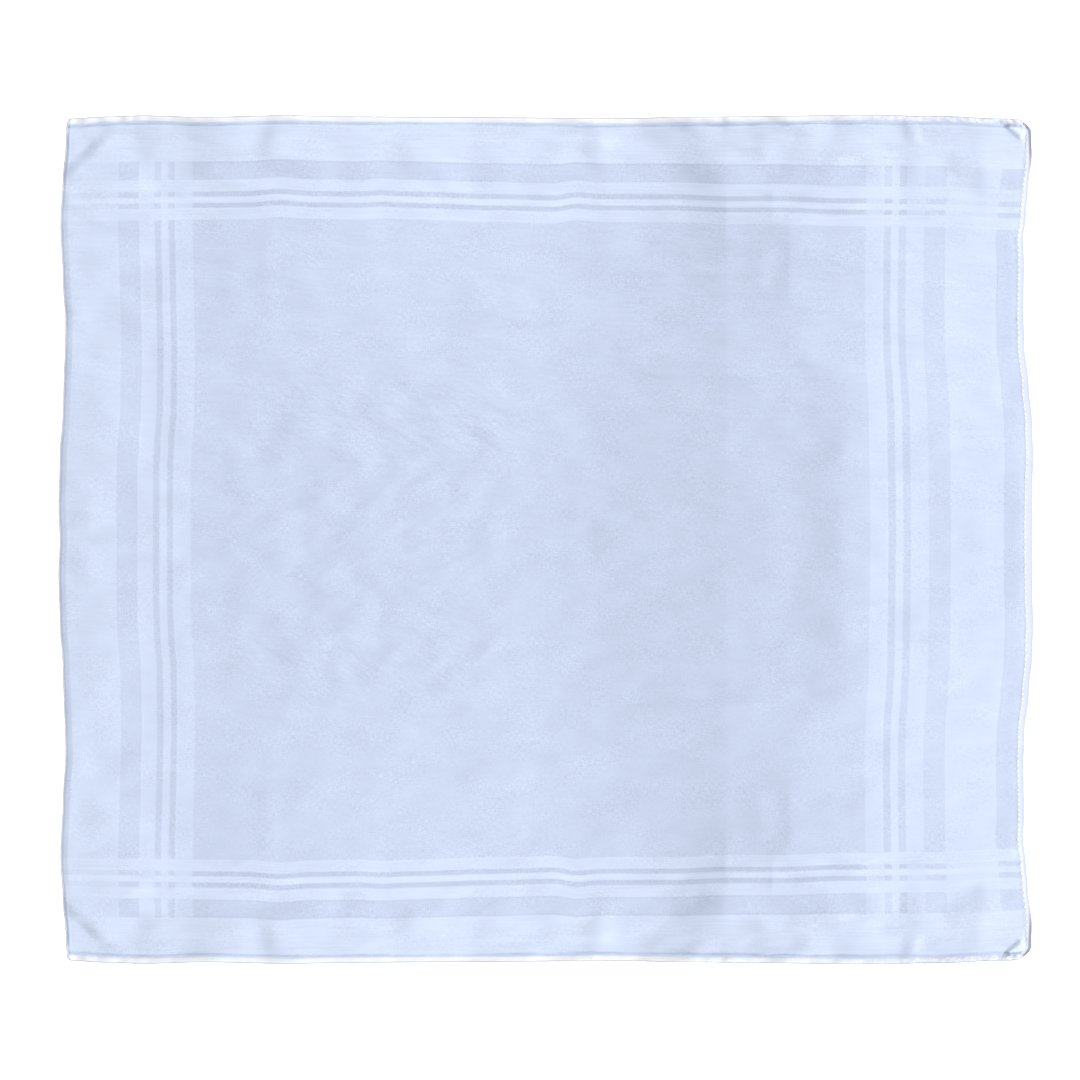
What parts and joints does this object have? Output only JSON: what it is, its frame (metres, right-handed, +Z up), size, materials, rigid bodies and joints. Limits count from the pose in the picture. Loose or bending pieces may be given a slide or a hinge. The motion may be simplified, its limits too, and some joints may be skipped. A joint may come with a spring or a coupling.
{
  "type": "handkerchief",
  "caption": "Oblong cotton handkerchief with satin stripe borders, laid out flat with soft press creases, wandering edges and a narrow turned hem.",
  "frame": {"origin": "under the middle of the cloth, on the surface it lies on", "axes": "+X along the longer side, +Y along the shorter side, +Z up, out of the cloth's right side"},
  "size_m": [0.4594, 0.4, 0.0066],
  "materials": {
    "striped_cotton": "matte",
    "sewing_thread": "matte"
  },
  "bodies": {
    "root": {"handkerchief": "striped_cotton"}
  },
  "joints": []
}
